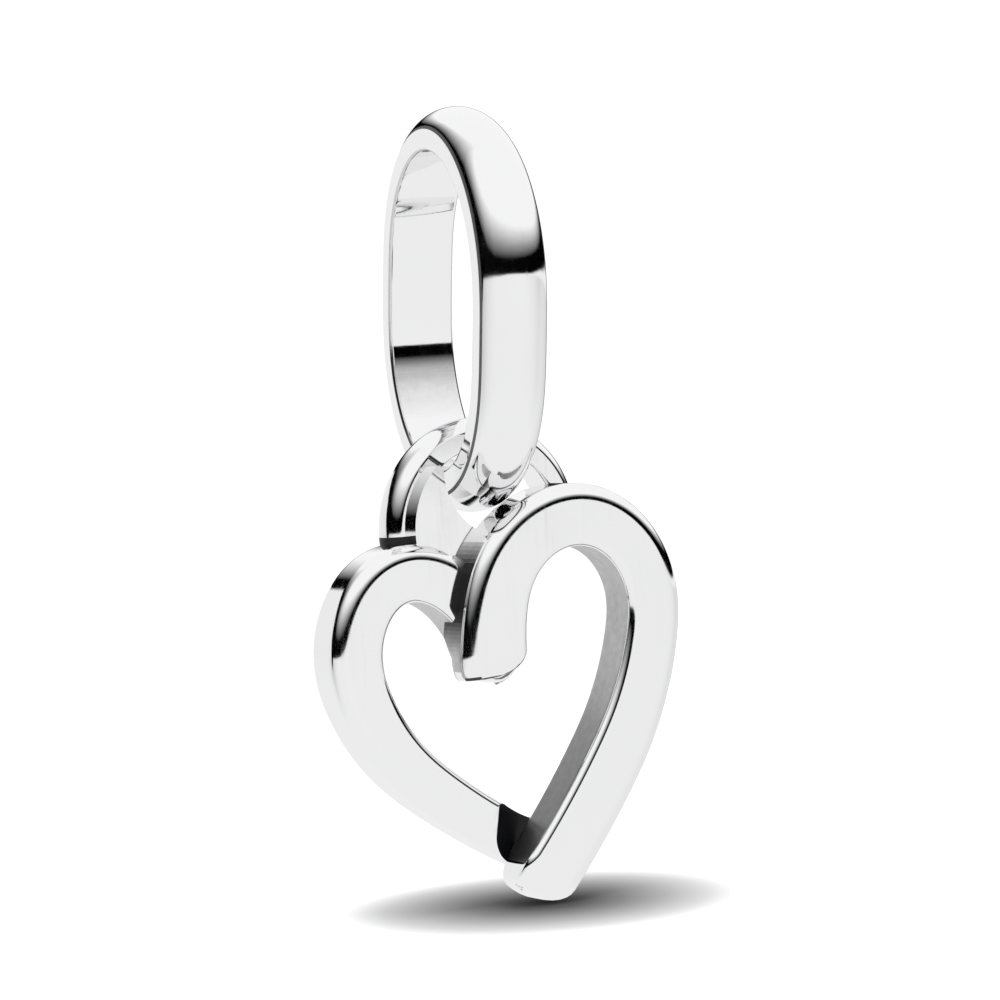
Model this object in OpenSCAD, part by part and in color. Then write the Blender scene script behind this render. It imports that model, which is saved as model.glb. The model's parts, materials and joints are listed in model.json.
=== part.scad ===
// Dangle charm: an open heart drawn in two overlapping strokes, hanging by its loop from an oval bail.
// The origin is the inside top of the bail, where the charm hangs. +Z is up and the heart faces -Y.

/* [Bail] */
// Width of the bail's opening, front to back
bail_opening_w = 5.9; // [5.6:0.1:6.5]
// Height of the bail's opening
bail_opening_h = 7.4; // [7:0.1:9]
// Width of the band, left to right
bail_band = 1.6; // [1.3:0.05:1.7]
// Radial height of the band's flat side faces
bail_side = 0.48; // [0.3:0.02:0.6]
// Radial height of the dome on the outside of the band
bail_dome = 0.5; // [0.3:0.02:0.6]
// Forward lean of the bail as it hangs, in degrees
bail_lean = 14; // [8:1:18]

/* [Heart] */
// Depth of one stroke, front to back
stroke_depth = 1.15; // [1.1:0.05:1.3]
// How far the right stroke lies in front of the left one
stroke_step = 0.6; // [0.5:0.01:0.7]
// Rounding between a stroke's face and its outer wall
outer_round = 0.34; // [0.2:0.02:0.36]
// Rounding between a stroke's face and its inner wall
inner_round = 0.16; // [0.06:0.01:0.3]
// Turn of the heart about the vertical, in degrees
heart_yaw = 11; // [0:1:20]
// Turn of the heart in its own plane, in degrees, at which it hangs in balance
heart_roll = 1; // [-4:0.5:4]

/* [Loop] */
// Radius of the loop's hole
loop_hole_r = 1.84; // [1.82:0.02:1.9]
// Radial height of the loop's flat front
loop_side = 0.44; // [0.4:0.02:0.48]
// Radial height of the dome on the outside of the loop
loop_dome = 0.26; // [0.2:0.02:0.3]
// Depth of the loop, front to back
loop_depth = 0.95; // [0.9:0.01:1]
// Depth of the saddle that fills the foot of the loop
saddle_depth = 1.2; // [1.1:0.02:1.24]
// Distance of the loop's middle below the inside bottom of the bail
loop_drop = 1.34; // [1.3:0.01:1.38]

/* [Hidden] */
$fn = 96;

// The bail is two half rings about these middles, joined by straight legs
bail_r = bail_opening_w / 2;
bail_run = bail_opening_h - bail_opening_w;
upper_middle = [0, 0, -bail_r];
lower_middle = upper_middle + bail_run * [0, sin(bail_lean), -cos(bail_lean)];

// The loop's middle, and the back of the loop and of each stroke, measured forward from it
loop_middle = [0, 0.4, lower_middle[2] - bail_r - loop_drop];
loop_back = -0.23;
left_back = 0;
right_back = left_back + stroke_step;

// Rows of a stroke's centre line: turn radius, turn in degrees (to the right is negative),
// and the stroke's width where the row ends
RADIUS = 0;
TURN = 1;
WIDTH = 2;
right_start = [-0.53, -2.85];
right_heading = 88.4;
right_end_slant = 0.1;
right_under = 0.66;
right_rows = [
    [0, 0, 1.67],
    [5.95, -13.3, 1.55],
    [2.31, -54.6, 1.45],
    [1.91, -61.5, 1.44],
    [2.27, -57.1, 1.46],
    [7.67, -24.7, 1.56],
    [23, -8, 1.54],
];
left_start = [0.03, -3.15];
left_heading = 110;
left_rows = [
    [0, 0, 0.9],
    [23.5, 2, 1.38],
    [2.6, 44.7, 1.34],
    [1.33, 74.5, 1.28],
    [2.18, 55.5, 1.25],
    [4.54, 34.1, 1.16],
    [14.5, 8.5, 1.1],
    [8, 11, 1.24],
];
STEPS = 8;

// The caps on a stroke's two ends: the rim's length and width, how much more of that comes off the outer
// wall than off the inner one, and how far the face falls
RIM = 0;
LEAN = 1;
FALL = 2;
right_caps = [[0.55, -0.62, 0.17], [0.68, 0.4, 0.68]];
left_caps = [[0.4, 0, 0.4], [0.1, 0, 0.1]];

// Stations along the rows: place, heading and width
function arc_place(p, h, r, t) = let (s = sign(t)) p + s * r * [sin(h + t) - sin(h), cos(h) - cos(h + t)];
function stations(rows, p, h, i = 1) =
    let (
        was = rows[i - 1],
        row = rows[i],
        last = i == len(rows) - 1,
        here = [
            for (k = [0:(last ? STEPS : STEPS - 1)])
            let (f = k / STEPS, t = row[TURN] * f)
            [
                arc_place(p, h, row[RADIUS], t),
                h + t,
                was[WIDTH] + (row[WIDTH] - was[WIDTH]) * f
            ]
        ]
    )
    last
        ? here
        : concat(here, stations(rows, arc_place(p, h, row[RADIUS], row[TURN]), h + row[TURN], i + 1));

// A stroke's section: its outer wall is on the left of the line where side is 1, on the right where it is
// -1, and under is the rounding between that wall and the back
CORNER = 5;
back_round = 0.06;
function corner(c, r, a) = [
    for (k = [0:CORNER])
    let (t = a + 90 * k / CORNER)
    c + r * [cos(t), sin(t)]
];
function section(w, d, side, under) =
    let (
        left = side > 0 ? outer_round : inner_round,
        right = side > 0 ? inner_round : outer_round,
        low_left = side > 0 ? under : back_round,
        low_right = side > 0 ? back_round : under
    )
    concat(
        corner([w / 2 - left, d - left], left, 0),
        corner([right - w / 2, d - right], right, 90),
        corner([low_right - w / 2, low_right], low_right, 180),
        corner([w / 2 - low_left, low_left], low_left, 270)
    );

// One section set across the line at a station and slanted. For a cap, way is -1 at the start or 1 at
// the end, and a is 90 degrees where the cap begins and 0 at its tip.
function place_section(s, side, back, slant, cap, a, way, under) =
    let (closing = 1 - sin(a), inset = cap[RIM] * closing, w = s[2] - 2 * inset)
    [
        for (q = section(w, stroke_depth - cap[FALL] * closing, side, min(under, w - back_round)))
        let (
            go = way * cap[RIM] * cos(a) + slant * q[0],
            across = q[0] - side * cap[LEAN] * inset
        )
        [
            s[0][0] - across * sin(s[1]) + go * cos(s[1]),
            -(back + q[1]),
            s[0][1] + across * cos(s[1]) + go * sin(s[1])
        ]
    ];

// A stroke: sections along its line, with a rounded cap on each end. The edge behind its outer wall is
// rounded off by under at the start.
CAP = 5;
module stroke(rows, start, heading, side, back, slant, caps, under) {
    line = stations(rows, start, heading);
    n = len(line);
    fade = 2 * STEPS;
    function edge(k) = max(back_round, under * (1 - k / 3));
    rings = concat(
        [
            for (k = [0:CAP - 1])
            place_section(line[0], side, back, -slant, caps[0], 90 * k / CAP, -1, edge(0))
        ],
        [
            for (k = [0:n - 1])
            place_section(line[k], side, back, -slant * max(0, 1 - k / fade), caps[0], 90, 0, edge(k))
        ],
        [
            for (k = [CAP - 1:-1:0])
            place_section(line[n - 1], side, back, 0, caps[1], 90 * k / CAP, 1, back_round)
        ]
    );
    m = len(rings[0]);
    last = len(rings) - 1;
    polyhedron(
        [for (r = rings) each r],
        concat(
            [[for (j = [0:m - 1]) j]],
            [
                for (i = [0:last - 1], j = [0:m - 1])
                let (k = (j + 1) % m, next = (i + 1) * m)
                each [[i * m + j, next + j, next + k], [i * m + j, next + k, i * m + k]]
            ],
            [[for (j = [m - 1:-1:0]) last * m + j]]
        )
    );
}

// A band's section, radially outward from the radius r of its inside: flat sides and a domed outside
module domed_section(r, band, side, dome) {
    dome_r = (pow(band / 2, 2) + pow(dome, 2)) / (2 * dome);
    translate([r, 0]) {
        translate([0, -band / 2]) square([side, band]);
        intersection() {
            translate([side + dome - dome_r, 0]) circle(dome_r);
            translate([side, -band / 2]) square([dome, band]);
        }
    }
}

module band_section() {
    domed_section(bail_r, bail_band, bail_side, bail_dome);
}

// Half a ring of the band about the X axis, on the upper side
module half_ring() {
    rotate([90, 0, 90]) rotate_extrude(angle = 180) band_section();
}

module bail() {
    color([0.9, 0.9, 0.91])
    translate(upper_middle) rotate([bail_lean, 0, 0]) {
        half_ring();
        translate([0, 0, -bail_run]) {
            mirror([0, 0, 1]) half_ring();
            for (s = [0, 1]) mirror([0, s, 0]) {
                linear_extrude(bail_run) rotate(90) band_section();
            }
        }
    }
}

// Heart axes: the loop's middle at the origin, x across, z up and -y forward.
// The loop and its saddle end behind the strokes, along this outline of the heart's valley.
valley = [
    [-2.6, 2.6], [-2.6, -0.95], [-1.6, -1.05], [-0.9, -1.55], [-0.4, -2.3],
    [-0.3, -1.5], [0.25, -0.55], [1.1, 0.1], [2.6, 0.2], [2.6, 2.6],
];
hole_middle = [0.33, 1.36];
hole_r = 1.58;

module loop() {
    rotate([90, 0, 0]) intersection() {
        union() {
            translate([0, 0, loop_back + loop_depth / 2]) rotate_extrude() {
                domed_section(loop_hole_r, loop_depth, loop_side, loop_dome);
            }
            translate([0, 0, loop_back]) linear_extrude(saddle_depth) difference() {
                circle(loop_hole_r + loop_side / 2);
                translate(hole_middle) circle(hole_r);
            }
        }
        translate([0, 0, loop_back]) linear_extrude(saddle_depth) polygon(valley);
    }
}

// The left stroke's face is cut down to the right stroke at the tip, to the right of this leaning line
facet_foot = [-0.62, -8];
facet_lean = 9;
facet_fall = 0.667;
module facet() {
    translate([facet_foot[0], -(left_back + stroke_depth), facet_foot[1]]) rotate([0, facet_lean, 0]) {
        linear_extrude(3) polygon([[0, 0], [1.5, 1.5 * facet_fall], [1.5, -0.2], [0, -0.2]]);
    }
}

module heart() {
    color([0.9, 0.9, 0.91])
    translate(loop_middle) rotate([0, heart_roll, heart_yaw]) {
        loop();
        difference() {
            stroke(left_rows, left_start, left_heading, -1, left_back, 0, left_caps, 0);
            facet();
        }
        stroke(
            right_rows, right_start, right_heading, 1, right_back, right_end_slant, right_caps, right_under
        );
    }
}

bail();
heart();
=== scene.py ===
# %% [markdown]
# # A dangle charm in polished silver
# An open heart, drawn as two overlapping strokes, hangs by its loop from an oval bail.
# The CAD model is the fixed frame: it holds the sizes, the places and the one motion. Its facets would
# show in a mirror finish, so each step here makes one piece again with finer faces, or adds one part of
# the studio, and prints what it made.

# %% Load the frame
import json
import math
import bmesh
import bpy
from mathutils import Matrix, Vector

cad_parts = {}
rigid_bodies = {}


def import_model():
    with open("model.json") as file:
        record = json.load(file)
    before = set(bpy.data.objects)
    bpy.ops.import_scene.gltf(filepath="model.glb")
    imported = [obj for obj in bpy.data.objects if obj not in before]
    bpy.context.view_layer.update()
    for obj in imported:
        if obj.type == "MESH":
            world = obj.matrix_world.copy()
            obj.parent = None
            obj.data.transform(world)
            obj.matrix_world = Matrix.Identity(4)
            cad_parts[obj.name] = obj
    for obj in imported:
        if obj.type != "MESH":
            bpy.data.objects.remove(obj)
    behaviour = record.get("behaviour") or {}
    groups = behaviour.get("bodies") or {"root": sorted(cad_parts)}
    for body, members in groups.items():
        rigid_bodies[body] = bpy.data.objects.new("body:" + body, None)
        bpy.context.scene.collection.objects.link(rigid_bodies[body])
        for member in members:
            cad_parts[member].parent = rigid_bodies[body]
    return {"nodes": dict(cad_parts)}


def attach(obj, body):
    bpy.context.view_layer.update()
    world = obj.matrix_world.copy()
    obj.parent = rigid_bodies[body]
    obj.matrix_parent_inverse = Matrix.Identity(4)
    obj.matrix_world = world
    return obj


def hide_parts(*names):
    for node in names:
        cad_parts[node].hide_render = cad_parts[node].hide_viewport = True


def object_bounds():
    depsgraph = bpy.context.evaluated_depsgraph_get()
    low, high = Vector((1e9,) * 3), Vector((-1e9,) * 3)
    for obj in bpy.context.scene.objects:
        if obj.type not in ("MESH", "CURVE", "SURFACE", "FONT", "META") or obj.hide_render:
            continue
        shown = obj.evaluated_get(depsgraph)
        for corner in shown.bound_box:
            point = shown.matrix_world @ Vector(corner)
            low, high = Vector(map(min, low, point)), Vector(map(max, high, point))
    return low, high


MM = 0.001

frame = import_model()
cad_low, cad_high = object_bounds()
print("nodes:", sorted(frame["nodes"]))
print("CAD box in mm:", [round((high - low) / MM, 2) for low, high in zip(cad_low, cad_high)])

# %% [markdown]
# ## Camera
# The photograph looks almost level at the heart, from 19 degrees left of its front, with the camera
# rolled a little. A camera could be aimed by its rotation angles or by a Track To constraint. Here the
# view is written as three directions that are square to each other, because the room and the floor
# further down are laid out from the same directions. A long lens keeps the charm free of distortion.

# %% Camera
VIEW_RIGHT = Vector((0.94159, -0.33009, -0.06669))
VIEW_UP = Vector((0.07561, 0.01423, 0.99704))
VIEW_FORWARD = Vector((0.32816, 0.94384, -0.03836))
CAMERA_PLACE = Vector((-25.92, -76.15, -5.0)) * MM
FOCAL_LENGTH = 126
SENSOR_WIDTH = 36

camera_data = bpy.data.cameras.new("camera")
camera_data.lens = FOCAL_LENGTH
camera_data.sensor_width = SENSOR_WIDTH
camera_data.clip_start = MM
camera = bpy.data.objects.new("camera", camera_data)
bpy.context.scene.collection.objects.link(camera)
turn = Matrix((VIEW_RIGHT, VIEW_UP, -VIEW_FORWARD)).transposed()
camera.matrix_world = Matrix.Translation(CAMERA_PLACE) @ turn.to_4x4()
bpy.context.scene.camera = camera
print("camera at", [round(c / MM, 1) for c in CAMERA_PLACE], "mm")

# %% [markdown]
# ## Where the two bodies hang
# The bail leans with its top forward, and the heart hangs from it, turned about the vertical. Each piece
# could be modelled where it hangs, but sloping places are hard to read. So it is modelled upright and in
# millimetres, with the CAD's own sizes, and one matrix carries the mesh to its place. The object itself
# stays at the origin, as a CAD node does. The heart's own axes are x across, z up and -y forward.

# %% Where the two bodies hang
BAIL_R = 2.95
BAIL_RUN = 1.5
BAIL_LEAN = math.radians(14)
LOOP_DROP = 1.34
LOOP_SHIFT = 0.4
HEART_YAW = math.radians(11)
HEART_ROLL = math.radians(1)

upper_middle = Vector((0, 0, -BAIL_R))
bail_foot = Matrix.Translation((0, 0, -BAIL_RUN - BAIL_R))
bail_frame = Matrix.Translation(upper_middle) @ Matrix.Rotation(BAIL_LEAN, 4, "X") @ bail_foot
loop_middle = Vector((0, LOOP_SHIFT, -BAIL_R - BAIL_RUN * math.cos(BAIL_LEAN) - BAIL_R - LOOP_DROP))
heart_frame = (Matrix.Translation(loop_middle) @ Matrix.Rotation(HEART_YAW, 4, "Z")
               @ Matrix.Rotation(HEART_ROLL, 4, "Y"))
print("loop middle in mm:", [round(c, 3) for c in loop_middle])

# %% [markdown]
# ## Curves without kinks
# A silversmith bends a bar gradually, so its curve never changes suddenly. Arcs that only share a tangent
# do change suddenly, and a mirror polish shows that as a kink in the reflection. A Bezier curve drawn by
# hand would flow, but it would lose the CAD's radii. So the arcs stay, the turning along them is averaged
# over a short window, and the line is walked in small steps.

# %% Curves without kinks
def ramp(marks, values, s):
    """The value at s, on straight lines between the marks."""
    for i in range(len(marks) - 1):
        if s <= marks[i + 1]:
            share = (s - marks[i]) / max(marks[i + 1] - marks[i], 1e-9)
            return values[i] + (values[i + 1] - values[i]) * share
    return values[-1]


def averaged(marks, values, s, window, picks):
    """The mean of the value over the window on both sides of s."""
    found = [ramp(marks, values, s + window * (k / picks - 1)) for k in range(2 * picks + 1)]
    return sum(found) / len(found)


def step_on(place, heading_before, heading, length):
    """The next place, one step along the mean of two headings in degrees."""
    middle = math.radians((heading + heading_before) / 2)
    return place + Vector((math.cos(middle), math.sin(middle))) * length


def left_of(heading):
    """The direction to the left of a heading in degrees."""
    return Vector((-math.sin(math.radians(heading)), math.cos(math.radians(heading))))


print("halfway up a ramp from 0 to 10:", ramp([0, 1], [0, 10], 0.5))

# %% [markdown]
# ## One way to sweep a section
# The bail, both strokes and the loop are bars with a rounded section. A curve with a bevel object sweeps
# a section too, but only one that stays the same, and the strokes' section changes at their ends. Here a
# ring of edges is extruded from station to station, and each new ring is set in place. A bar that closes
# on itself is bridged at the end; an open one gets a face on each end.

# %% Points of a section
# Faces in a quarter arc, and the distance of a hold from a corner in millimetres
CORNER = 8
HOLD = 0.03


def arc(middle, r, start, count=CORNER, sweep=90):
    """Points on an arc, from a start in degrees round a sweep."""
    angles = [math.radians(start + sweep * k / count) for k in range(count + 1)]
    return [Vector((middle[0] + r * math.cos(a), middle[1] + r * math.sin(a))) for a in angles]


def with_holds(points):
    """Two more points on each long straight side, close to its ends, so that it shades flat."""
    held = []
    for i, p in enumerate(points):
        held.append(p)
        to = points[(i + 1) % len(points)]
        if (to - p).length > 4 * HOLD:
            held.append(p + (to - p).normalized() * HOLD)
            held.append(to + (p - to).normalized() * HOLD)
    return held


print("points of a quarter arc:", len(arc((0, 0), 1, 0)))

# %% Sweep
def sweep_rings(bm, rings, closed):
    """Extrude a ring of edges through each set of places."""
    first_verts = list(bmesh.ops.create_circle(bm, segments=len(rings[0]), radius=1)["verts"])
    for vert, place in zip(first_verts, rings[0]):
        vert.co = place
    first_edges = list(bm.edges)
    verts, edges = first_verts, first_edges
    for ring in rings[1:]:
        made = bmesh.ops.extrude_edge_only(bm, edges=edges)["geom"]
        new = {part for part in made if isinstance(part, bmesh.types.BMVert)}
        verts = [next(e.other_vert(v) for e in v.link_edges if e.other_vert(v) in new) for v in verts]
        for vert, place in zip(verts, ring):
            vert.co = place
        edges = [e for e in made if isinstance(e, bmesh.types.BMEdge) and all(v in new for v in e.verts)]
    if closed:
        bmesh.ops.bridge_loops(bm, edges=first_edges + edges)
    else:
        bmesh.ops.contextual_create(bm, geom=first_verts)
        bmesh.ops.contextual_create(bm, geom=verts)
    print("swept", len(rings), "rings of", len(rings[0]), "points")


# %% [markdown]
# ## Painted dark, and the end of each piece
# Mirror silver shows shade and dark reflections in some hollows and on some walls, and here that dark is
# painted into the colour. The dark could be painted on a texture, or come from a pointiness mask, but
# the first needs an image and the second darkens every edge alike. So each piece has a rule that reads a
# face's place and direction, and its answer, from 0 for polished to 1 for dark, is kept on the face as
# the attribute "painted_dark".

# %% Finish of a piece
# Edges that turn by more than this stay sharp in the smooth shading
SHARP_FROM = math.radians(35)


def polished(middle, normal):
    """The rule of a piece without painted dark."""
    return 0


def finish_piece(bm, name, body, node, place, painted_dark=polished):
    """Mark the painted dark, carry the mesh to its place in metres, and tie it to the CAD."""
    bmesh.ops.recalc_face_normals(bm, faces=bm.faces)
    layer = bm.faces.layers.float.new("painted_dark")
    for face in bm.faces:
        face[layer] = painted_dark(face.calc_center_median(), face.normal)
    bm.transform(Matrix.Scale(MM, 4) @ place)
    mesh = bpy.data.meshes.new(name)
    bm.to_mesh(mesh)
    bm.free()
    mesh.shade_smooth()
    mesh.set_sharp_from_angle(angle=SHARP_FROM)
    piece = bpy.data.objects.new(name, mesh)
    bpy.context.scene.collection.objects.link(piece)
    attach(piece, body)
    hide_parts(node)
    print(name, len(mesh.polygons), "faces")


# %% [markdown]
# ## The bail
# The bail is the oval ring that a bracelet passes through. Its band is flat inside and on its sides and
# domed outside, with soft edges, as drawn silver wire is. It could be a stretched torus, but that
# stretches the band too. So the section is drawn once and swept round two half circles and two legs.

# %% Section of a domed band
EDGE_ROUND = 0.07
EDGE_POINTS = 5
DOME_POINTS = 24
# The dome stops a little short of the band's sides, and the sides a little short of the dome
DOME_SHARE = 0.98
SHOULDER = 0.02


def band_section(inside, band, side, dome):
    """A section with its inside at a radius: a flat side on each edge of the band, and a dome on top."""
    half = band / 2
    dome_r = (half ** 2 + dome ** 2) / (2 * dome)
    reach = DOME_SHARE * math.degrees(math.asin(half / dome_r))
    shoulder = inside + side - SHOULDER
    top = arc((inside + side + dome - dome_r, 0), dome_r, -reach, DOME_POINTS, 2 * reach)
    high = arc((inside + EDGE_ROUND, half - EDGE_ROUND), EDGE_ROUND, 90, EDGE_POINTS)
    low = arc((inside + EDGE_ROUND, EDGE_ROUND - half), EDGE_ROUND, 180, EDGE_POINTS)
    return with_holds([Vector((shoulder, -half))] + top + [Vector((shoulder, half))] + high + low)


BAIL_BAND = 1.6
BAIL_SIDE = 0.48
BAIL_DOME = 0.5

bail_section = band_section(BAIL_R, BAIL_BAND, BAIL_SIDE, BAIL_DOME)
print("bail section:", len(bail_section), "points")

# %% The oval
# The places round the oval, and the window over which its turning is averaged, with picks on each side
OVAL_STEPS = 256
OVAL_WINDOW = 0.6
OVAL_PICKS = 6


def oval_line():
    """Places and headings along the bail's inside, once round from its foot."""
    half_circle = math.pi * BAIL_R
    marks, headings = [0.0], [0.0]
    for length, turning in ((half_circle / 2, 90), (BAIL_RUN, 0), (half_circle, 180), (BAIL_RUN, 0),
                            (half_circle / 2, 90)):
        marks.append(marks[-1] + length)
        headings.append(headings[-1] + turning)
    total = marks[-1]
    laps = [m - total for m in marks[:-1]] + marks + [m + total for m in marks[1:]]
    turns = [h - 360 for h in headings[:-1]] + headings + [h + 360 for h in headings[1:]]
    line, place = [], Vector((0, 0))
    for k in range(OVAL_STEPS):
        heading = averaged(laps, turns, total * k / OVAL_STEPS, OVAL_WINDOW, OVAL_PICKS)
        if line:
            place = step_on(place, line[-1][1], heading, total / OVAL_STEPS)
        line.append((place, heading))
    return line


def oval_rings(section):
    """The section, set square to the oval at each of its places."""
    rings = []
    for place, heading in oval_line():
        out = -left_of(heading)
        rings.append([Vector((q[1], place[0] + out[0] * (q[0] - BAIL_R), place[1] + out[1] * (q[0] - BAIL_R)))
                      for q in section])
    return rings


bail_rings = oval_rings(bail_section)
print("bail stations:", len(bail_rings))

# %% [markdown]
# ## The bail's painted dark
# The lower bend inside the bail holds the heart's loop. The shade there and the loop's dark reflection
# are painted into the colour: darkest along the edges of the bend and greyish between them. The thin line
# where a side meets the dome is a painted dark reflection too.
# The rule measures a face's height in the band, how far round the lower bend it lies, and how far it
# looks sideways, from 0 for not at all to 1 for straight to the side.

# %% The bail's painted dark
# Degrees round the bend, and the painted shade and reflection there, on its rounded edges and on the flat
# between them
BEND_EDGES = ([0, 12, 18, 54, 90], [0.25, 0.25, 0.95, 0.95, 0.2])
BEND_FLAT = ([0, 22, 28, 50, 90], [0, 0, 0.22, 0, 0])
# How far a face looks sideways on a rounded edge, on the line under the dome, and on the side itself
EDGE_FROM = 0.2
LINE_FROM = 0.4
SIDE_FROM = 0.97
LINE_HEIGHT = 0.3
LINE_WIDTH = 0.03
# The painted dark reflection on the line under the dome
LINE_PAINTED_DARK = 0.8


def height_in_band(middle):
    """The distance out from the bail's inside."""
    nearest = Vector((0, 0, min(max(middle[2], BAIL_R), BAIL_RUN + BAIL_R)))
    return (Vector((0, middle[1], middle[2])) - nearest).length - BAIL_R


def bail_painted_dark(middle, normal):
    """Painted shade in the lower bend of the inside, and a painted dark reflection along the line under the
    dome.
    """
    height = height_in_band(middle)
    sideways = abs(normal[0])
    if height < EDGE_ROUND:
        bend = max(0, math.degrees(math.atan2(BAIL_R - middle[2], abs(middle[1]))))
        marks, values = BEND_EDGES if EDGE_FROM < sideways < SIDE_FROM else BEND_FLAT
        return ramp(marks, values, bend)
    under_dome = height > LINE_HEIGHT and abs(middle[0]) > BAIL_BAND / 2 - LINE_WIDTH
    return LINE_PAINTED_DARK if under_dome and LINE_FROM < sideways < SIDE_FROM else 0


# %% Bail
bm = bmesh.new()
sweep_rings(bm, bail_rings, True)
finish_piece(bm, "bail_silver", "bail", "bail", bail_frame, bail_painted_dark)

# %% [markdown]
# ## The heart's two strokes
# The heart is drawn like two strokes of a broad pen. The left one starts behind the notch and thins out
# behind the tip; the right one lies over it and ends in the rounded tip. Each could be a curve with a
# bevel and a taper, but its outer edge is rounder than its inner one and its ends are capped unevenly.
# A table says what each stroke does: a row is one arc, with its radius, its turn in degrees (to the right
# is negative) and the stroke's width where the arc ends.

# %% Tables of the strokes
# Caps are for the start and the end: the rim's length and width, how much more of that comes off the
# outer wall than off the inner one, and how far the face falls. Side is 1 where the outer wall is on the
# left of the line. Back is how far the stroke lies in front of the heart's back, slant how far its start
# leans, and under the rounding between its outer wall and its back at the start.
RIGHT = {
    "start": (-0.53, -2.85), "heading": 88.4, "side": 1, "back": 0.6, "slant": 0.1, "under": 0.66,
    "rows": [(0, 0, 1.67), (5.95, -13.3, 1.55), (2.31, -54.6, 1.45), (1.91, -61.5, 1.44),
             (2.27, -57.1, 1.46), (7.67, -24.7, 1.56), (23, -8, 1.54)],
    "caps": [(0.55, -0.62, 0.17), (0.68, 0.4, 0.68)],
}
LEFT = {
    "start": (0.03, -3.15), "heading": 110, "side": -1, "back": 0, "slant": 0, "under": 0,
    "rows": [(0, 0, 0.9), (23.5, 2, 1.38), (2.6, 44.7, 1.34), (1.33, 74.5, 1.28),
             (2.18, 55.5, 1.25), (4.54, 34.1, 1.16), (14.5, 8.5, 1.1), (8, 11, 1.24)],
    "caps": [(0.4, 0, 0.4), (0.1, 0, 0.1)],
}
STEP = 0.08
TURN_WINDOW = 0.5
TURN_PICKS = 4


def walk(stroke):
    """Stations along a stroke: place, heading in degrees and width."""
    marks, headings, widths = [0.0], [stroke["heading"]], [stroke["rows"][0][2]]
    for radius, turning, width in stroke["rows"][1:]:
        marks.append(marks[-1] + radius * math.radians(abs(turning)))
        headings.append(headings[-1] + turning)
        widths.append(width)
    count = round(marks[-1] / STEP)
    line, place = [], Vector(stroke["start"])
    for k in range(count + 1):
        s = marks[-1] * k / count
        window = min(TURN_WINDOW, s, marks[-1] - s)
        heading = averaged(marks, headings, s, window, TURN_PICKS)
        if line:
            place = step_on(place, line[-1][1], heading, marks[-1] / count)
        line.append((place, heading, averaged(marks, widths, s, window, TURN_PICKS)))
    return line


right_line = walk(RIGHT)
left_line = walk(LEFT)
print("stations:", len(right_line), "and", len(left_line))

# %% Section of a stroke
# A small stroke keeps at least this much wall between its roundings; holds are shares of a straight side
DEPTH = 1.15
OUTER_ROUND = 0.34
INNER_ROUND = 0.16
BACK_ROUND = 0.1
LEAST_WALL = 0.02
HOLD_SHARES = (0.06, 0.5, 0.94)


def stroke_section(width, depth, side, under):
    """Four arcs, from the left face edge round, with three more points on each straight side."""
    under = min(under, width - BACK_ROUND)
    left, right = (OUTER_ROUND, INNER_ROUND) if side > 0 else (INNER_ROUND, OUTER_ROUND)
    low_left, low_right = (under, BACK_ROUND) if side > 0 else (BACK_ROUND, under)
    left = min(left, depth - low_left - LEAST_WALL)
    right = min(right, depth - low_right - LEAST_WALL)
    points = (arc((width / 2 - left, depth - left), left, 0)
              + arc((right - width / 2, depth - right), right, 90)
              + arc((low_right - width / 2, low_right), low_right, 180)
              + arc((width / 2 - low_left, low_left), low_left, 270))
    section = []
    for i, p in enumerate(points):
        section.append(p)
        if i % (CORNER + 1) == CORNER:
            to = points[(i + 1) % len(points)]
            section.extend(p + (to - p) * share for share in HOLD_SHARES)
    return section


print("stroke section:", len(stroke_section(1.5, DEPTH, 1, 0)), "points")

# %% [markdown]
# ## Rings and caps of a stroke
# A stroke's ends are filed round. A bevel could round them, but here one end leans, one wall is rounded
# more than the other, and the edge behind the right stroke's start is taken far back. So a cap is made of
# more rings, each narrower and lower than the last, that follow a quarter circle. An angle of 0 is the
# tip of the cap and a right angle is where it meets the stroke.

# %% Rings of a stroke
# Rings in a cap, and the part of a step by which its first ring stays back from the tip
CAP = 8
CAP_OFFSET = 0.5
# The share of the line over which the slant fades, and the length over which the rounding behind does
SLANT_SHARE = 0.35
UNDER_RUN = 0.52


def place_section(station, stroke, slant, cap, angle, way, under=BACK_ROUND):
    """One section across the line; in a cap, way is -1 at the start and 1 at the end."""
    place, heading, width = station
    rim, lean, fall = cap
    closing = 1 - math.sin(angle)
    c, s = math.cos(math.radians(heading)), math.sin(math.radians(heading))
    ring = []
    for q in stroke_section(width - 2 * rim * closing, DEPTH - fall * closing, stroke["side"], under):
        go = way * rim * math.cos(angle) + slant * q[0]
        across = q[0] - stroke["side"] * lean * rim * closing
        x = place[0] - across * s + go * c
        z = place[1] + across * c + go * s
        ring.append(Vector((x, -(stroke["back"] + q[1]), z)))
    return ring


def stroke_rings(line, stroke):
    """The first cap, the stations and the last cap of a stroke."""
    first_cap, last_cap = stroke["caps"]
    quarter = [math.radians(90 * (k + CAP_OFFSET) / (CAP + CAP_OFFSET)) for k in range(CAP)]
    under = max(BACK_ROUND, stroke["under"])
    rings = [place_section(line[0], stroke, -stroke["slant"], first_cap, a, -1, under) for a in quarter]
    for k, station in enumerate(line):
        slant = -stroke["slant"] * max(0, 1 - k / (SLANT_SHARE * len(line))) ** 2
        under = max(BACK_ROUND, stroke["under"] * (1 - k * STEP / UNDER_RUN))
        rings.append(place_section(station, stroke, slant, first_cap, math.pi / 2, 0, under))
    return rings + [place_section(line[-1], stroke, 0, last_cap, a, 1) for a in reversed(quarter)]


right_rings = stroke_rings(right_line, RIGHT)
left_rings = stroke_rings(left_line, LEFT)
print("rings:", len(right_rings), "and", len(left_rings))
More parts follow.
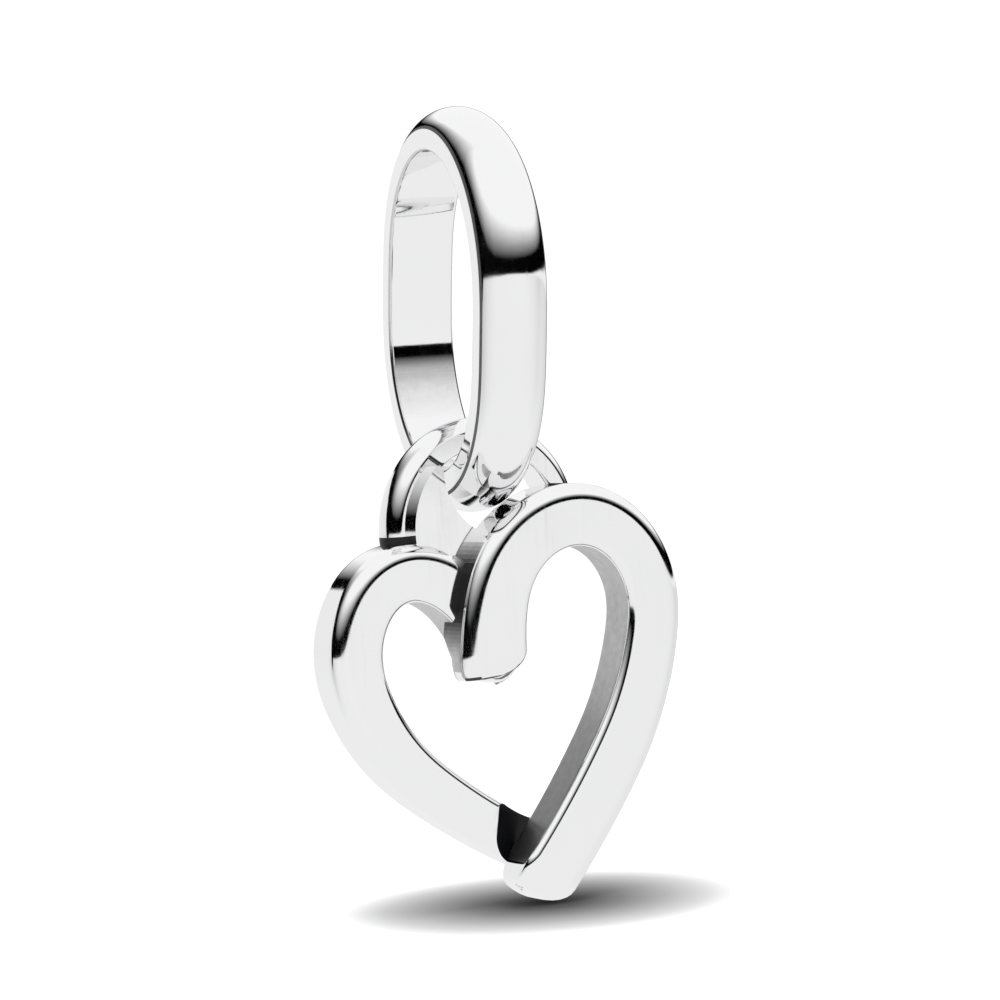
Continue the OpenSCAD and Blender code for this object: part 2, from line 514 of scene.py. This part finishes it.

# %% [markdown]
# ## The strokes' painted dark
# The wall in the notch faces the left lobe, and its shade and dark reflection are painted on it. The lower
# edge of the slanted end looks down, and its shade is painted on too.
# The inner walls get part of the dark tone, and with it more roughness. Each rule finds
# the station nearest to a face, to know whether the face looks out of the heart or into it.

# %% Rule of the right stroke
# Heights on the notch's wall and its painted shade and reflection. The wall lies left of and below the
# notch's corner.
NOTCH_WALL_DARK = ([-3.6, -2.8, -2, -0.8, -0.3], [0.35, 0.4, 0.97, 0.97, 0.3])
NOTCH_CORNER = -0.3
ROUNDED_BELOW = -2
ROUNDED_OUT, ROUNDED_BACK = 0.2, 0.1
# The lower edge of the slanted end looks down and forward, and its shade is painted dark
END_FOOT, END_TOP = -4.2, -2.9
END_LEFT_OF = 0.5
END_DOWN, STRAIGHT_DOWN, END_FORWARD = 0.5, 0.93, -0.25
END_PAINTED_DARK = 0.9
SQUARE = 0.97
# The share of the dark tone on the right stroke's inner wall
RIGHT_INNER_DARK = 0.42


def nearest_station(line, middle):
    """The station nearest to a point of the heart."""
    point = Vector((middle[0], middle[2]))
    return min(line, key=lambda station: (station[0] - point).length_squared)


def facing_left(line, middle, normal):
    """1 for a face that looks straight to the left of the line, and -1 to the right."""
    heading = nearest_station(line, middle)[1]
    return Vector((normal[0], normal[2])).dot(left_of(heading))


def right_painted_dark(middle, normal):
    """Painted shade on the notch's wall and under the slanted end, part of the dark tone on the inner wall.
    """
    across, up = middle[0], middle[2]
    outward = facing_left(right_line, middle, normal)
    rounded = up < ROUNDED_BELOW and outward > ROUNDED_OUT and normal[1] > ROUNDED_BACK
    if max(across, up) < NOTCH_CORNER and (outward > SQUARE or rounded):
        return ramp(*NOTCH_WALL_DARK, up)
    edge = END_DOWN < -normal[2] < STRAIGHT_DOWN and normal[1] < END_FORWARD
    if edge and across < END_LEFT_OF and END_FOOT < up < END_TOP:
        return END_PAINTED_DARK
    return RIGHT_INNER_DARK if outward < -SQUARE else 0


# %% Right stroke
bm = bmesh.new()
sweep_rings(bm, right_rings, False)
finish_piece(bm, "right_stroke_silver", "heart", "heart", heart_frame, right_painted_dark)

# %% [markdown]
# ## The facet at the tip
# Near the tip the left stroke is cut down in a slope, so that it seems to pass under the right one. A
# Boolean with a wedge would cut it too. A bisect plane does it in one step, on the faces about the tip
# alone, and the open rim is then filled. The facet is painted black for the shade and the dark
# reflection in the recess between the strokes.

# %% Facet
FACET_FOOT = Vector((-0.62, -DEPTH, -8))
FACET_LEAN = math.radians(9)
FACET_FALL = math.atan(0.667)
# The cut reaches the faces below and to the right of these, and a face that looks along its plane's
# direction this closely lies on the facet
FACET_BELOW = -5.4
FACET_RIGHT_OF = -2.4
ON_FACET = 0.999
# The share of the dark tone on the left stroke's inner wall
LEFT_INNER_DARK = 0.35

facet_normal = Vector((math.sin(FACET_FALL), -math.cos(FACET_FALL), 0))
facet_normal.rotate(Matrix.Rotation(FACET_LEAN, 3, "Y"))


def cut_facet(bm):
    """Cut the left stroke down along the facet's plane and close it."""
    faces = [f for f in bm.faces if all(v.co[2] < FACET_BELOW and v.co[0] > FACET_RIGHT_OF for v in f.verts)]
    geom = faces + list({e for f in faces for e in f.edges}) + list({v for f in faces for v in f.verts})
    bmesh.ops.bisect_plane(bm, geom=geom, dist=1e-5, plane_co=FACET_FOOT, plane_no=facet_normal,
                           clear_outer=True)
    rim = [e for e in bm.edges if e.is_boundary]
    facet = bmesh.ops.contextual_create(bm, geom=rim)["faces"]
    print("facet filled with", len(facet), "faces")


def left_painted_dark(middle, normal):
    """Painted black on the facet, part of the dark tone on the inner wall."""
    # The facet is painted black as shade and dark reflection
    if normal.dot(facet_normal) > ON_FACET:
        return 1
    return LEFT_INNER_DARK if facing_left(left_line, middle, normal) > SQUARE else 0


# %% Left stroke
bm = bmesh.new()
sweep_rings(bm, left_rings, False)
cut_facet(bm)
finish_piece(bm, "left_stroke_silver", "heart", "heart", heart_frame, left_painted_dark)

# %% [markdown]
# ## The loop
# The loop is the ring behind the strokes that hangs in the bail. It has the bail's kind of band, bent
# round a smaller hole. A spin of the section about the hole's middle would make it too; the sweep is
# used again because it keeps one way for all the bars. It is an open arc: both ends are hidden behind the
# strokes. Where it meets the outer wall of the left lobe there is a crease, and the shade in the crease is
# painted dark.

# %% Loop
LOOP_HOLE_R = 1.84
LOOP_SIDE = 0.44
LOOP_DOME = 0.26
LOOP_DEPTH = 0.95
LOOP_BACK = -0.23
LOOP_FROM, LOOP_TO = 4, 207
LOOP_STEPS = 192
# The painted shade of the crease is a strip beside the left stroke, measured from its middle in halves of its
# width
CREASE_FROM, CREASE_TO = -1.25, -0.97
CREASE_ABOVE = -2
BACKWARD = 0.5
CREASE_PAINTED_DARK = 0.95


def loop_painted_dark(middle, normal):
    """Painted shade in the crease beside the left lobe, seen from the front."""
    place, heading, width = nearest_station(left_line, middle)
    aside = (Vector((middle[0], middle[2])) - place).dot(left_of(heading)) / (width / 2)
    in_crease = CREASE_FROM < aside < CREASE_TO and middle[2] > CREASE_ABOVE and normal[1] < BACKWARD
    return CREASE_PAINTED_DARK if in_crease else 0


loop_middle_y = -(LOOP_BACK + LOOP_DEPTH / 2)
loop_section = band_section(LOOP_HOLE_R, LOOP_DEPTH, LOOP_SIDE, LOOP_DOME)
loop_rings = []
for k in range(LOOP_STEPS + 1):
    a = math.radians(LOOP_FROM + (LOOP_TO - LOOP_FROM) * k / LOOP_STEPS)
    loop_rings.append([Vector((q[0] * math.cos(a), loop_middle_y - q[1], q[0] * math.sin(a)))
                       for q in loop_section])
bm = bmesh.new()
sweep_rings(bm, loop_rings, False)
finish_piece(bm, "loop_silver", "heart", "heart", heart_frame, loop_painted_dark)

# %% [markdown]
# ## The saddle
# A plate fills the foot of the loop, and the loop is soldered to the strokes through it. It could be cut
# from a cube with Booleans. It is simpler to draw its outline as one face and extrude that: round the
# loop's seat, down along the heart's valley, and back round the hole. Its back lies a hair inside the
# loop's back, because two faces in one plane would flicker through each other.

# %% Saddle
# The seat's arcs are in degrees about the loop's middle
SADDLE_DEPTH = 1.2
SADDLE_SET = 0.02
SEAT_R = LOOP_HOLE_R + LOOP_SIDE / 2
SEAT_LEFT = dict(start=134, count=24, sweep=74)
SEAT_RIGHT = dict(start=5, count=6, sweep=16)
HOLE_MIDDLE = (0.33, 1.36)
HOLE_R = 1.58
HOLE_STEPS = 48
VALLEY = [(-1.75, -1.03), (-1.6, -1.05), (-0.9, -1.55), (-0.4, -2.3), (-0.3, -1.5), (0.25, -0.55),
          (1.1, 0.1), (2.0, 0.16)]


def round_hole(point):
    """The angle of a point about the middle of the saddle's hole, in degrees."""
    return math.degrees(math.atan2(point[1] - HOLE_MIDDLE[1], point[0] - HOLE_MIDDLE[0]))


outline = arc((0, 0), SEAT_R, **SEAT_LEFT) + [Vector(p) for p in VALLEY] + arc((0, 0), SEAT_R, **SEAT_RIGHT)
hole_from = round_hole(outline[-1])
outline += arc(HOLE_MIDDLE, HOLE_R, hole_from, HOLE_STEPS, round_hole(outline[0]) - 360 - hole_from)
bm = bmesh.new()
plate = bm.faces.new([bm.verts.new((p[0], -LOOP_BACK - SADDLE_SET, p[1])) for p in outline])
front = bmesh.ops.extrude_face_region(bm, geom=[plate])["geom"]
front_verts = [part for part in front if isinstance(part, bmesh.types.BMVert)]
bmesh.ops.translate(bm, verts=front_verts, vec=(0, SADDLE_SET - SADDLE_DEPTH, 0))
finish_piece(bm, "saddle_silver", "heart", "heart", heart_frame)

# %% [markdown]
# ## Helpers for node trees
# Materials and the room are made of nodes. A long chain of them is hard to read when each node, value and
# link has a line of its own. These helpers make a node, feed it with sockets or plain numbers in order,
# and give back the output, so that a formula reads as one.

# %% Helpers for node trees
def wire(tree, node, output, *sources):
    """Feed a node's sockets in order, with sockets or numbers, and give back one output."""
    for socket, source in zip(node.inputs, sources):
        if isinstance(source, bpy.types.NodeSocket):
            tree.links.new(source, socket)
        else:
            socket.default_value = source
    return node.outputs[output]


def reckon(tree, operation, *sources, clamp=False):
    """One Math node."""
    node = tree.nodes.new("ShaderNodeMath")
    node.operation = operation
    node.use_clamp = clamp
    return wire(tree, node, "Value", *sources)


def grey_stops(tree, value, stops):
    """A colour ramp of greys, from pairs of a position and a grey."""
    node = tree.nodes.new("ShaderNodeValToRGB")
    elements = node.color_ramp.elements
    while len(elements) < len(stops):
        elements.new(0.5)
    for element, (position, grey) in zip(elements, stops):
        element.position = position
        element.color = (grey, grey, grey, 1)
    return wire(tree, node, "Color", value)


print("helpers for nodes: wire, reckon, grey_stops")

# %% [markdown]
# ## The colour of the silver
# Clean silver reflects nine tenths of the light, almost without a tint, and the painted shade and dark
# reflections are nearly black. Two materials could be mixed, but both are the same metal, so one Principled
# shader mixes two colours by the attribute. Where the painted dark is at half strength its edge is mottled
# with a fine noise.

# %% The colour of the silver
SILVER_TONE = (0.9, 0.9, 0.905, 1)
# The nearly black tone of the painted shade and dark reflections
PAINTED_DARK_TONE = (0.006, 0.006, 0.008, 1)
MOTTLING = 0.15
MOTTLING_NOISE = dict(scale=5000, detail=2)

material = bpy.data.materials.new("silver")
material.use_nodes = True
silver = material.node_tree
shader = silver.nodes["Principled BSDF"]
shader.inputs["Metallic"].default_value = 1
coords = silver.nodes.new("ShaderNodeTexCoord")


def noise(scale, detail, stretch=(1, 1, 1)):
    """Noise that lies on the piece, from 0 to 1."""
    place = silver.nodes.new("ShaderNodeMapping")
    place.inputs["Scale"].default_value = stretch
    silver.links.new(coords.outputs["Object"], place.inputs["Vector"])
    cloud = silver.nodes.new("ShaderNodeTexNoise")
    cloud.inputs["Scale"].default_value = scale
    cloud.inputs["Detail"].default_value = detail
    silver.links.new(place.outputs["Vector"], cloud.inputs["Vector"])
    return cloud.outputs["Fac"]


def spread(value, low, high, start=0.3, end=0.7):
    """The value between start and end, spread from low to high."""
    return wire(silver, silver.nodes.new("ShaderNodeMapRange"), "Result", value, start, end, low, high)


mark = silver.nodes.new("ShaderNodeAttribute")
mark.attribute_name = "painted_dark"
painted_dark = mark.outputs["Fac"]
half_dark = reckon(silver, "MULTIPLY", painted_dark, reckon(silver, "SUBTRACT", 1, painted_dark))
mottling = spread(noise(**MOTTLING_NOISE), -MOTTLING, MOTTLING)
dark_share = reckon(silver, "MULTIPLY_ADD", half_dark, mottling, painted_dark)
tone = silver.nodes.new("ShaderNodeMix")
tone.data_type = "RGBA"
tone.inputs["A"].default_value = SILVER_TONE
tone.inputs["B"].default_value = PAINTED_DARK_TONE
silver.links.new(dark_share, tone.inputs["Factor"])
silver.links.new(tone.outputs["Result"], shader.inputs["Base Color"])
print("silver tones:", SILVER_TONE[:3], "and", PAINTED_DARK_TONE[:3])

# %% [markdown]
# ## The polish
# No hand polish is perfect: handling leaves cloudy patches, the cloth leaves hairlines, and the metal
# ripples by about a thousandth of a millimetre. Where the dark is painted the metal is made rougher too,
# and the square root makes even a faint painted dark look like satin. Scratches could be modelled, but at
# this size noise in the roughness and in the bump gives the same life to the reflections.

# %% The polish
# Handling and hairlines add to the roughness; the ripple's depth is in metres
HANDLING = dict(low=0.03, high=0.09)
HANDLING_NOISE = dict(scale=700, detail=5)
HAIRLINES = dict(low=0, high=0.05, start=0.5, end=0.75)
HAIRLINE_NOISE = dict(scale=9000, detail=3, stretch=(1, 1, 0.06))
# The roughness added where the dark is painted
MATT = 0.5
RIPPLE = 0.0000012
RIPPLE_STRENGTH = 0.35
RIPPLE_NOISE = dict(scale=5000, detail=3)

handling = spread(noise(**HANDLING_NOISE), **HANDLING)
hairlines = spread(noise(**HAIRLINE_NOISE), **HAIRLINES)
dark_roughening = reckon(silver, "POWER", dark_share, 0.5)
roughness = reckon(silver, "MULTIPLY_ADD", dark_roughening, MATT, reckon(silver, "ADD", handling, hairlines))
silver.links.new(roughness, shader.inputs["Roughness"])
ripple = silver.nodes.new("ShaderNodeBump")
ripple.inputs["Strength"].default_value = RIPPLE_STRENGTH
ripple.inputs["Distance"].default_value = RIPPLE
silver.links.new(noise(**RIPPLE_NOISE), ripple.inputs["Height"])
silver.links.new(ripple.outputs["Normal"], shader.inputs["Normal"])
silver_pieces = [piece for piece in bpy.data.objects if piece.name.endswith("_silver")]
for piece in silver_pieces:
    piece.data.materials.append(material)
print("silver on", [piece.name for piece in silver_pieces])

# %% [markdown]
# ## The room that the silver shows
# Mirror silver shows the room and nothing else, so the room makes its look. Low down the room is white,
# from the floor and a low card. Above the horizon comes a dark band, the unlit wall, which fades upward
# into a broad white ceiling. Cards and softboxes could stand about as objects, but then each would need
# hiding from the camera. Here the room is painted on the world by direction, and it stays where it is in
# every view. The first cell finds the way round the room: 0 degrees is straight behind the charm as the
# photograph sees it, and the angles grow to the right.

# %% Directions in the room
world = bpy.data.worlds.new("studio")
bpy.context.scene.world = world
world.use_nodes = True
room = world.node_tree
look = room.nodes.new("ShaderNodeMapping")
look.inputs["Rotation"].default_value = (0, 0, math.atan2(VIEW_FORWARD[0], VIEW_FORWARD[1]))
room.links.new(room.nodes.new("ShaderNodeTexCoord").outputs["Generated"], look.inputs["Vector"])
direction = room.nodes.new("ShaderNodeSeparateXYZ")
room.links.new(look.outputs["Vector"], direction.inputs["Vector"])
height = direction.outputs["Z"]
angle = reckon(room, "ARCTAN2", direction.outputs["X"], direction.outputs["Y"])
lap = reckon(room, "MULTIPLY_ADD", angle, 0.5 / math.pi, 0.5)
print("the room is turned by", round(math.degrees(look.inputs["Rotation"].default_value[2]), 1), "degrees")

# %% [markdown]
# ## Tables of the room
# Each table goes once round the room, with a row for an angle in degrees and a value there. The dark
# band's foot and top are heights, from -1 straight down to 1 straight up. Fade is the height over which
# the ceiling grows white above the band. The card and the ground are greys, from 0 to 1.

# %% Tables of the room
BAND_FOOT = [(-180, 0), (-110, 0), (-105, -0.08), (-100, -0.16), (-96, -0.1), (-93, 0.12), (-85, 0.36),
             (-72, 0.44), (-58, 0.46), (-45, 0.44), (-38, 0.4), (-30, 0.31), (-20, 0.21), (0, 0.07),
             (20, 0.04), (70, 0.03), (110, 0), (180, 0)]
BAND_TOP = [(-180, 0.16), (-150, 0.17), (-130, 0.22), (-115, 0.34), (-100, 0.5), (-85, 0.6), (-70, 0.6),
            (-50, 0.54), (-38, 0.47), (-30, 0.4), (-20, 0.32), (0, 0.15), (30, 0.13), (70, 0.14),
            (110, 0.15), (180, 0.16)]
FADE = [(-180, 0.4), (-130, 0.45), (-95, 0.4), (-60, 0.3), (-35, 0.15), (0, 0.1), (30, 0.08), (70, 0.15),
        (120, 0.3), (180, 0.4)]
CARD = [(-100, 0.5), (-88, 0.85), (-60, 0.9), (0, 0.95)]
GROUND = [(-180, 0.93), (-145, 0.93), (-120, 0.78), (-106, 0.55), (-96, 0.55), (-80, 0.8), (-55, 0.92),
          (0, 0.85), (14, 0.5), (35, 0.72), (60, 0.8), (75, 0.72), (95, 0.84), (120, 0.93), (150, 0.95),
          (180, 0.93)]


def once_round(table):
    """A table's value in each direction; a colour ramp only holds 0 to 1, so it is squeezed and spread."""
    squeezed = grey_stops(room, lap, [(a / 360 + 0.5, value / 2 + 0.5) for a, value in table])
    return reckon(room, "MULTIPLY_ADD", squeezed, 2, -1)


foot, top, fade, card, ground = [once_round(table) for table in (BAND_FOOT, BAND_TOP, FADE, CARD, GROUND)]
print("rows of the room's tables:", [len(table) for table in (BAND_FOOT, BAND_TOP, FADE, CARD, GROUND)])

# %% [markdown]
# ## The room put together
# From below to above: the ground, which evens out towards straight below, the card about the horizon,
# the dark band, and the ceiling. Only reflections see this room. The camera sees plain white, and the
# floor gets plain light from all sides, as under a studio tent.

# %% The room put together
# Heights are from -1 to 1 as in the tables; the deep ground is one plain tone
CARD_FOOT = -0.03
SOFT_EDGE = 0.02
DEEP = 0.6
DEEP_TONE = 0.93
CEILING = [(0.0, 0.0), (0.35, 0.3), (1.0, 1.0)]
FLOOR_LIGHT = 1.1


def between(low, high, share):
    """Low where the share is 0 and high where it is 1."""
    return reckon(room, "ADD", low, reckon(room, "MULTIPLY", share, reckon(room, "SUBTRACT", high, low)))


downward = reckon(room, "DIVIDE", reckon(room, "MULTIPLY", height, -1), DEEP, clamp=True)
on_card = reckon(room, "DIVIDE", reckon(room, "SUBTRACT", height, CARD_FOOT), SOFT_EDGE, clamp=True)
below_band = reckon(room, "DIVIDE", reckon(room, "SUBTRACT", foot, height), SOFT_EDGE, clamp=True)
above_band = reckon(room, "DIVIDE", reckon(room, "SUBTRACT", height, top), fade, clamp=True)
low_tone = between(between(ground, DEEP_TONE, downward), card, on_card)
high_tone = grey_stops(room, above_band, CEILING)
seen = reckon(room, "MAXIMUM", reckon(room, "MULTIPLY", below_band, low_tone), high_tone)

ray = room.nodes.new("ShaderNodeLightPath")
for_silver = reckon(room, "MULTIPLY", seen, ray.outputs["Is Glossy Ray"])
for_floor = reckon(room, "MULTIPLY", FLOOR_LIGHT, reckon(room, "SUBTRACT", 1, ray.outputs["Is Glossy Ray"]))
lit = reckon(room, "ADD", for_silver, for_floor)
background = room.nodes["Background"]
background.inputs["Color"].default_value = (1, 1, 1, 1)
room.links.new(reckon(room, "MAXIMUM", lit, ray.outputs["Is Camera Ray"]), background.inputs["Strength"])
print("room of", len(room.nodes), "nodes")

# %% [markdown]
# ## The floor
# The charm hangs just clear of a white floor, and under its tip lies a soft dark spot, a painted shadow.
# Light from all sides casts almost no shadow under so small a piece. So the shadow is painted on the floor
# as a pattern, whose tone grows lighter with the distance from the tip. The disc ends a little behind
# the charm, where it melts into the white world, and reflections don't see it.

# %% Floor
# The gap under the tip in millimetres; the disc's radius and its shift towards the camera in metres
FLOOR_GAP = 0.05
FLOOR_R = 0.6
FLOOR_SHIFT = 0.55
FLOOR_SEGMENTS = 96

floor_z = cad_low[2] - FLOOR_GAP * MM
bm = bmesh.new()
bmesh.ops.create_circle(bm, cap_ends=True, segments=FLOOR_SEGMENTS, radius=FLOOR_R)
floor_middle = (-FLOOR_SHIFT * VIEW_FORWARD[0], -FLOOR_SHIFT * VIEW_FORWARD[1], floor_z)
bmesh.ops.translate(bm, verts=bm.verts, vec=floor_middle)
floor_mesh = bpy.data.meshes.new("floor")
bm.to_mesh(floor_mesh)
bm.free()
floor = bpy.data.objects.new("floor", floor_mesh)
bpy.context.scene.collection.objects.link(floor)
floor.visible_glossy = False
print("floor at", round(floor_z / MM, 2), "mm")

# %% The painted shadow under the tip
PAINTED_SHADOW_R = 5.1
FLOOR_ROUGHNESS = 0.9
# The share of the way out of the painted shadow, and the floor's grey there
PAINTED_SHADOW = [(0.0, 0.03), (0.18, 0.1), (0.36, 0.22), (0.55, 0.38), (0.73, 0.56), (0.82, 0.7), (0.91, 0.86),
        (1.0, 0.96)]

pale = bpy.data.materials.new("pale_floor")
pale.use_nodes = True
pale_tree = pale.node_tree
tip_x, tip_z = right_line[-1][0]
tip = heart_frame @ Vector((tip_x, -RIGHT["back"] - DEPTH / 2, tip_z))
from_tip = pale_tree.nodes.new("ShaderNodeVectorMath")
from_tip.operation = "DISTANCE"
from_tip.inputs[1].default_value = (tip[0] * MM, tip[1] * MM, floor_z)
pale_tree.links.new(pale_tree.nodes.new("ShaderNodeTexCoord").outputs["Object"], from_tip.inputs[0])
out_of_painted_shadow = reckon(pale_tree, "DIVIDE", from_tip.outputs["Value"], PAINTED_SHADOW_R * MM)
pale_shader = pale_tree.nodes["Principled BSDF"]
pale_tree.links.new(grey_stops(pale_tree, out_of_painted_shadow, PAINTED_SHADOW), pale_shader.inputs["Base Color"])
pale_shader.inputs["Roughness"].default_value = FLOOR_ROUGHNESS
pale_shader.inputs["Specular IOR Level"].default_value = 0
floor_mesh.materials.append(pale)
print("spot of", PAINTED_SHADOW_R, "mm under the tip")

# %% [markdown]
# ## The light
# A studio lights small silver from above through a large diffuser. The room gives the silver its light,
# so this lamp only has to brighten the floor. A sun or a point lamp would throw a hard shadow; a wide
# disc throws a soft one. Reflections don't see it. The view transform is Standard, because a film-like one
# would turn the white of the studio grey.

# %% Light
# In metres and watts
SOFTBOX_WIDTH = 0.2
SOFTBOX_POWER = 0.4
SOFTBOX_PLACE = Vector((0, -0.05, 0.28))
SOFTBOX_AIM = Vector((0, 0, -0.012))

softbox_data = bpy.data.lights.new("softbox", "AREA")
softbox_data.shape = "DISK"
softbox_data.size = SOFTBOX_WIDTH
softbox_data.energy = SOFTBOX_POWER
softbox = bpy.data.objects.new("softbox", softbox_data)
bpy.context.scene.collection.objects.link(softbox)
softbox.visible_glossy = False
softbox.location = SOFTBOX_PLACE
softbox.rotation_euler = (SOFTBOX_AIM - SOFTBOX_PLACE).to_track_quat("-Z", "Y").to_euler()
view = bpy.context.scene.view_settings
view.view_transform = "Standard"
view.look = "None"
print("softbox at", [round(c, 2) for c in SOFTBOX_PLACE])
